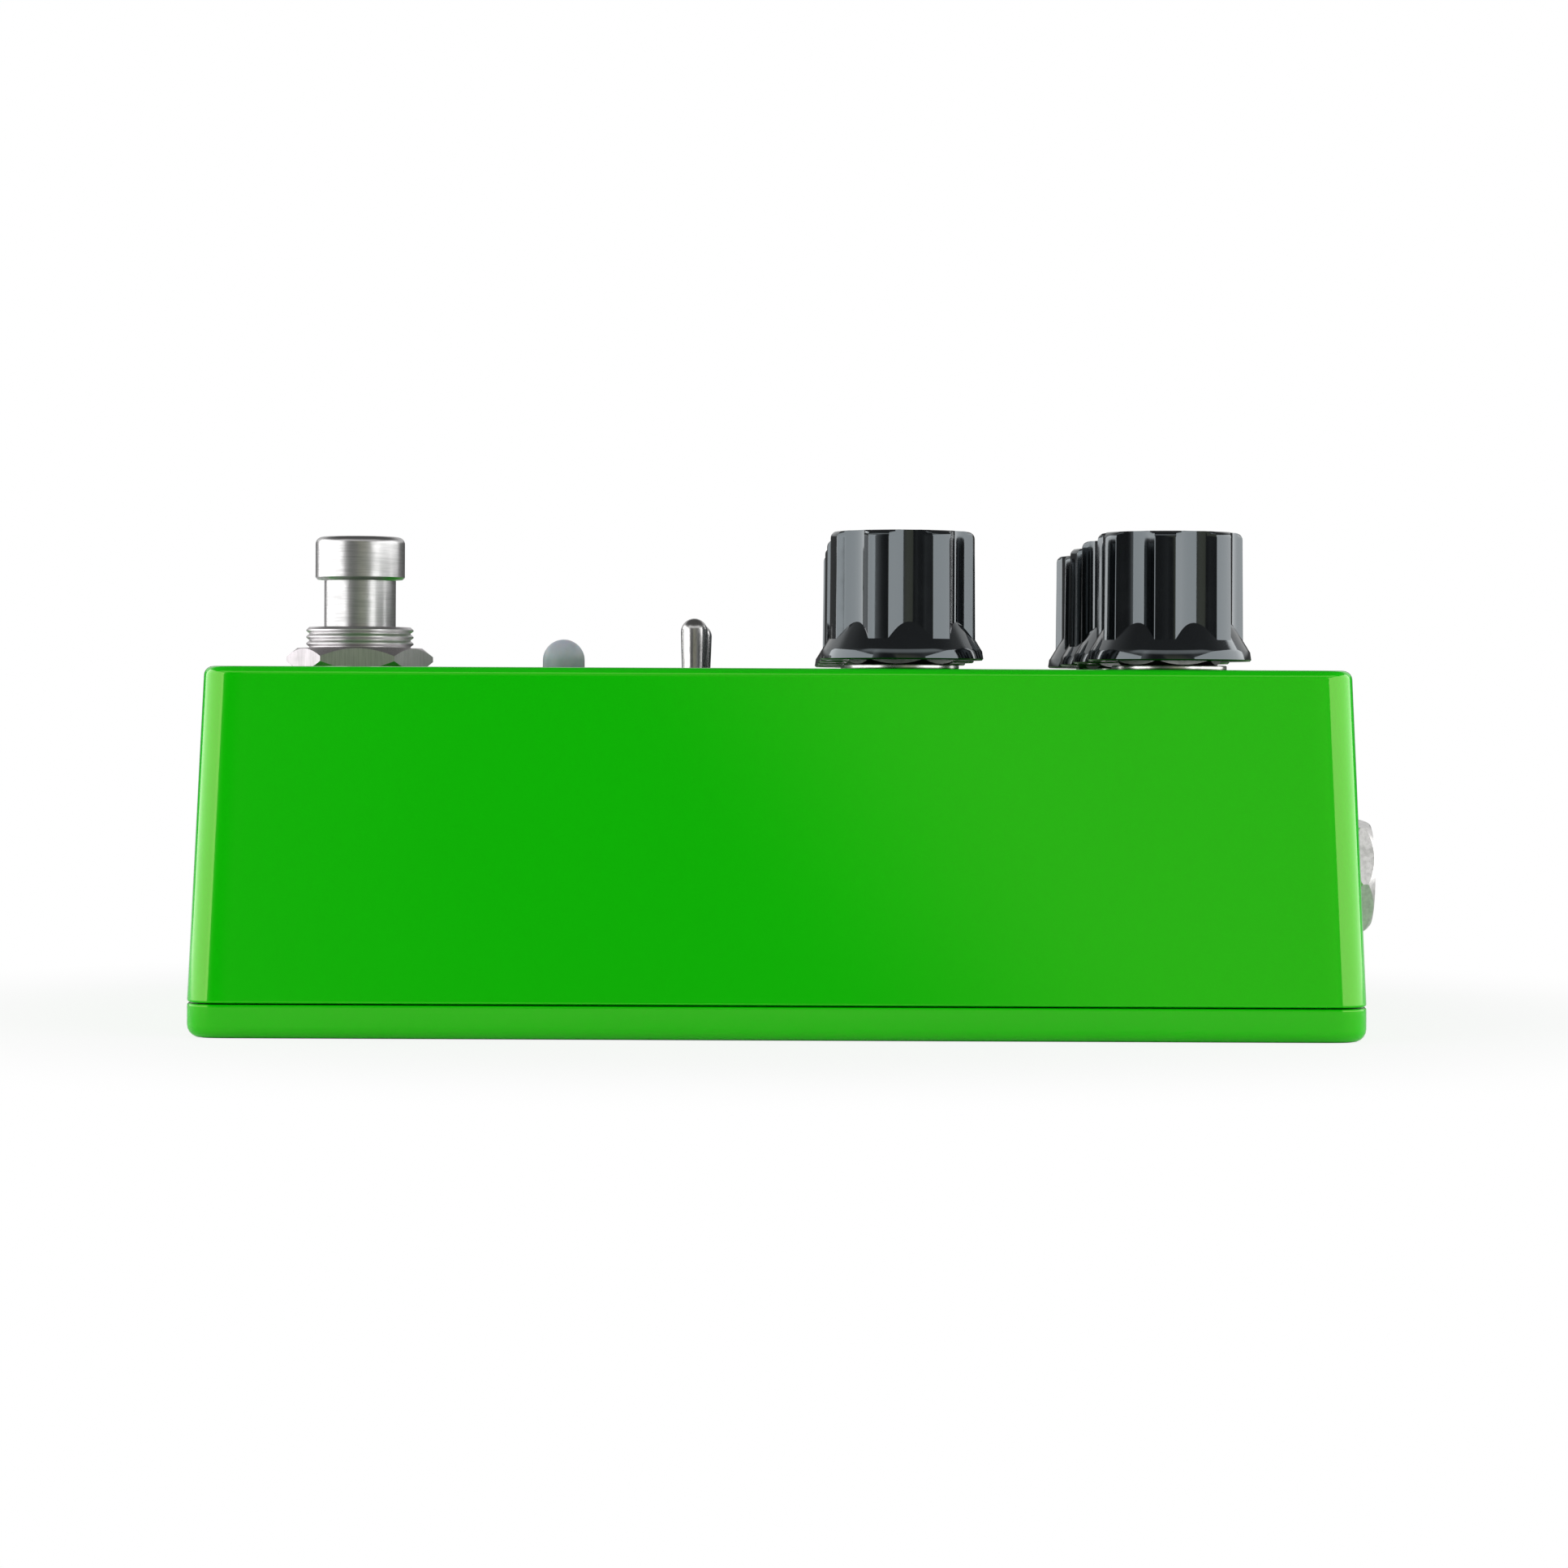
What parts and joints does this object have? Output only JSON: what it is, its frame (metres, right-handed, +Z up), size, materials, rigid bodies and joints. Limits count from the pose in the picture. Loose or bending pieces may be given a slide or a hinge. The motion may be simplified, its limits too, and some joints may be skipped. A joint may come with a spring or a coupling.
{
  "type": "guitar effects pedal",
  "caption": "Box-type effects pedal: drafted die-cast box with a screwed lid, footswitch, indicator, toggle switches, fluted knobs and rear jacks.",
  "frame": {"origin": "middle of the lid's flat underside, which the pedal rests on", "axes": "+Z up through the control panel, +Y towards the rear wall with the jacks, +X to the player's right"},
  "size_m": [0.094, 0.1233, 0.053],
  "materials": {
    "enclosure_enamel": "bright green glossy baked enamel on die-cast metal",
    "lid_screw_steel": "zinc plated steel",
    "knob_plastic": "glossy black moulded plastic",
    "shaft_metal": "machined, bare",
    "pot_case_metal": "pressed and plated",
    "nut_plating": "bright nickel plating",
    "footswitch_chrome": "bright nickel plating",
    "washer_steel": "zinc plated",
    "footswitch_case_plastic": "blue moulded plastic",
    "spring_steel": "drawn wire",
    "ribbon_jacket": "grey flat cable",
    "led_lens": "milky grey-blue lens, unlit",
    "switch_body_plastic": "black moulded plastic",
    "lever_chrome": "bright nickel plating",
    "jack_plastic": "black moulded plastic",
    "board_laminate": "green solder mask on glass laminate",
    "chip_plastic": "black moulded package"
  },
  "bodies": {
    "enclosure": {"enclosure_body": "enclosure_enamel", "base_lid": "enclosure_enamel", "lid_screw_front_left": "lid_screw_steel", "lid_screw_front_right": "lid_screw_steel", "lid_screw_rear_left": "lid_screw_steel", "lid_screw_rear_right": "lid_screw_steel", "pot_body_front_1": "pot_case_metal", "pot_nut_front_1": "nut_plating", "pot_body_front_2": "pot_case_metal", "pot_nut_front_2": "nut_plating", "pot_body_front_3": "pot_case_metal", "pot_nut_front_3": "nut_plating", "pot_body_front_4": "pot_case_metal", "pot_nut_front_4": "nut_plating", "pot_body_rear_1": "pot_case_metal", "pot_nut_rear_1": "nut_plating", "pot_body_rear_2": "pot_case_metal", "pot_nut_rear_2": "nut_plating", "pot_body_rear_3": "pot_case_metal", "pot_nut_rear_3": "nut_plating", "pot_body_rear_4": "pot_case_metal", "pot_nut_rear_4": "nut_plating", "footswitch_nut": "nut_plating", "footswitch_back_nut": "nut_plating", "footswitch_bushing": "footswitch_chrome", "footswitch_lock_washer": "washer_steel", "footswitch_case": "footswitch_case_plastic", "footswitch_ribbon": "ribbon_jacket", "indicator_led": "led_lens", "toggle_body_left": "switch_body_plastic", "jack_body_left": "jack_plastic", "jack_nut_left": "nut_plating", "toggle_body_right": "switch_body_plastic", "jack_body_right": "jack_plastic", "jack_nut_right": "nut_plating", "main_circuit_board": "board_laminate", "amplifier_chip": "chip_plastic", "power_socket": "jack_plastic", "power_socket_nut": "nut_plating"},
    "knob_front_1": {"knob_front_1": "knob_plastic", "pot_shaft_front_1": "shaft_metal"},
    "knob_front_2": {"knob_front_2": "knob_plastic", "pot_shaft_front_2": "shaft_metal"},
    "knob_front_3": {"knob_front_3": "knob_plastic", "pot_shaft_front_3": "shaft_metal"},
    "knob_front_4": {"knob_front_4": "knob_plastic", "pot_shaft_front_4": "shaft_metal"},
    "knob_rear_1": {"knob_rear_1": "knob_plastic", "pot_shaft_rear_1": "shaft_metal"},
    "knob_rear_2": {"knob_rear_2": "knob_plastic", "pot_shaft_rear_2": "shaft_metal"},
    "knob_rear_3": {"knob_rear_3": "knob_plastic", "pot_shaft_rear_3": "shaft_metal"},
    "knob_rear_4": {"knob_rear_4": "knob_plastic", "pot_shaft_rear_4": "shaft_metal"},
    "footswitch_plunger": {"footswitch_plunger": "footswitch_chrome", "footswitch_spring": "spring_steel"},
    "toggle_lever_left": {"toggle_lever_left": "lever_chrome"},
    "toggle_lever_right": {"toggle_lever_right": "lever_chrome"}
  },
  "joints": [
    {"name": "knob_front_1_turn", "type": "hinge", "parent": "enclosure", "child": "knob_front_1", "pos_m": [-0.0339, 0.0129, 0.0457], "axis": [0, 0, 1], "range_deg": [-262, 38]},
    {"name": "knob_front_2_turn", "type": "hinge", "parent": "enclosure", "child": "knob_front_2", "pos_m": [-0.0113, 0.0129, 0.0457], "axis": [0, 0, 1], "range_deg": [-188, 112]},
    {"name": "knob_front_3_turn", "type": "hinge", "parent": "enclosure", "child": "knob_front_3", "pos_m": [0.0113, 0.0129, 0.0457], "axis": [0, 0, 1], "range_deg": [-226, 74]},
    {"name": "knob_front_4_turn", "type": "hinge", "parent": "enclosure", "child": "knob_front_4", "pos_m": [0.0339, 0.0129, 0.0457], "axis": [0, 0, 1], "range_deg": [-194, 106]},
    {"name": "knob_rear_1_turn", "type": "hinge", "parent": "enclosure", "child": "knob_rear_1", "pos_m": [-0.0339, 0.0409, 0.0457], "axis": [0, 0, 1], "range_deg": [-210, 90]},
    {"name": "knob_rear_2_turn", "type": "hinge", "parent": "enclosure", "child": "knob_rear_2", "pos_m": [-0.0113, 0.0409, 0.0457], "axis": [0, 0, 1], "range_deg": [-245, 55]},
    {"name": "knob_rear_3_turn", "type": "hinge", "parent": "enclosure", "child": "knob_rear_3", "pos_m": [0.0113, 0.0409, 0.0457], "axis": [0, 0, 1], "range_deg": [-170, 130]},
    {"name": "knob_rear_4_turn", "type": "hinge", "parent": "enclosure", "child": "knob_rear_4", "pos_m": [0.0339, 0.0409, 0.0457], "axis": [0, 0, 1], "range_deg": [-205.9, 94.1]},
    {"name": "footswitch_press", "type": "slide", "parent": "enclosure", "child": "footswitch_plunger", "axis": [0, 0, -1], "range_m": [0, 0.002], "stiffness_N_per_m": 3000, "springref_m": -0.0015, "deforming": ["footswitch_spring"]},
    {"name": "toggle_left_flip", "type": "hinge", "parent": "enclosure", "child": "toggle_lever_left", "pos_m": [-0.0146, -0.0092, 0.0358], "axis": [0, 1, 0], "range_deg": [0, 24]},
    {"name": "toggle_right_flip", "type": "hinge", "parent": "enclosure", "child": "toggle_lever_right", "pos_m": [0.0146, -0.0092, 0.0358], "axis": [0, 1, 0], "range_deg": [0, 24]}
  ]
}
